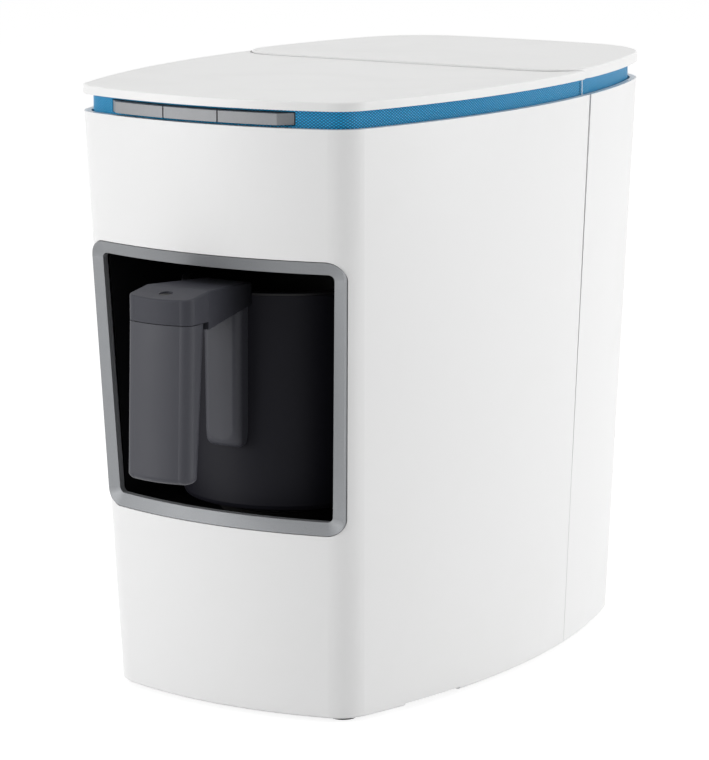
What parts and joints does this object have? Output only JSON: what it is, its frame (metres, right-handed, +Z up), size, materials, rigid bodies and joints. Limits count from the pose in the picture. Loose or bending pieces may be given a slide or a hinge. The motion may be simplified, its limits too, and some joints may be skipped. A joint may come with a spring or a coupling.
{
  "type": "electric turkish coffee maker",
  "caption": "Upright electric turkish coffee maker with a long-handled pot in a front bay, push buttons in a band under the lid and a lift-out water tank at the back.",
  "frame": {"origin": "bottom centre of the whole object, handle included, on the plane of the feet", "axes": "+Z up, +Y towards the back (the handle points to -Y), +X to the right seen from the front"},
  "size_m": [0.1794, 0.3121, 0.2652],
  "materials": {
    "white_shell": "glossy moulded",
    "blue_band": "satin with a fine woven relief",
    "silver_satin": "satin silver paint",
    "black_moulding": "fine spark-eroded grain",
    "pot_black": "satin",
    "pot_steel": "brushed",
    "hot_plate": "turned, dark",
    "heater_steel": "plain",
    "steel_small": "plain",
    "rubber": "matt",
    "sensor_window": "dark infrared window",
    "tank_plastic": "smoked, translucent",
    "valve_plastic": "plain",
    "silicone": "translucent",
    "board": "fibreglass board",
    "pump_case": "plain"
  },
  "bodies": {
    "housing": {"base_plate": "black_moulding", "base_screws": "steel_small", "bezel": "silver_satin", "board_standoffs": "board", "button_board": "board", "cord_gland": "black_moulding", "delivery_tube": "silicone", "divider_strips": "white_shell", "dock_seal": "rubber", "front_band": "blue_band", "front_housing": "white_shell", "front_left_foot": "rubber", "front_lid": "white_shell", "front_right_foot": "rubber", "heating_ring": "heater_steel", "hot_plate": "hot_plate", "level_sensor": "sensor_window", "plate_gasket": "rubber", "pot_bay_liner": "black_moulding", "power_board": "board", "pump": "pump_case", "pump_mount_left": "rubber", "pump_mount_right": "rubber", "rear_cover": "white_shell", "rear_left_foot": "rubber", "rear_right_foot": "rubber", "sensor_bracket": "heater_steel", "sensor_spring": "steel_small", "suction_tube": "silicone", "tact_switches": "board", "tank_bay": "black_moulding", "tank_dock": "black_moulding", "temperature_sensor": "heater_steel", "top_deck": "black_moulding", "water_outlet": "black_moulding"},
    "pot": {"pot_jacket": "pot_black", "pot_cup": "pot_steel", "pot_base_disc": "pot_steel", "handle_mount": "pot_black", "handle_arm": "pot_black", "handle_grip": "pot_black", "handle_screw": "steel_small"},
    "tank": {"tank_body": "tank_plastic", "tank_band": "blue_band", "valve_seat": "valve_plastic", "valve_poppet": "valve_plastic", "valve_cage": "black_moulding", "valve_spring": "steel_small"},
    "tank_lid": {"tank_lid": "white_shell"},
    "button_left": {"button_left": "silver_satin", "plunger_left": "valve_plastic"},
    "button_middle": {"button_middle": "silver_satin", "plunger_middle": "valve_plastic"},
    "button_right": {"button_right": "silver_satin", "plunger_right": "valve_plastic"}
  },
  "joints": [
    {"name": "pot_pull", "type": "slide", "parent": "housing", "child": "pot", "axis": [0, -0.994, 0.1097], "range_m": [0, 0.13]},
    {"name": "button_left_press", "type": "slide", "parent": "housing", "child": "button_left", "axis": [0, 1, 0], "range_m": [0, 0.0012], "stiffness_N_per_m": 400, "springref_m": -0.0004},
    {"name": "button_middle_press", "type": "slide", "parent": "housing", "child": "button_middle", "axis": [0, 1, 0], "range_m": [0, 0.0012], "stiffness_N_per_m": 400, "springref_m": -0.0004},
    {"name": "button_right_press", "type": "slide", "parent": "housing", "child": "button_right", "axis": [0, 1, 0], "range_m": [0, 0.0012], "stiffness_N_per_m": 400, "springref_m": -0.0004},
    {"name": "tank_lift", "type": "slide", "parent": "housing", "child": "tank", "axis": [0, 0, 1], "range_m": [0, 0.18]},
    {"name": "tank_lid_lift", "type": "slide", "parent": "tank", "child": "tank_lid", "axis": [0, 0, 1], "range_m": [0, 0.05]}
  ]
}
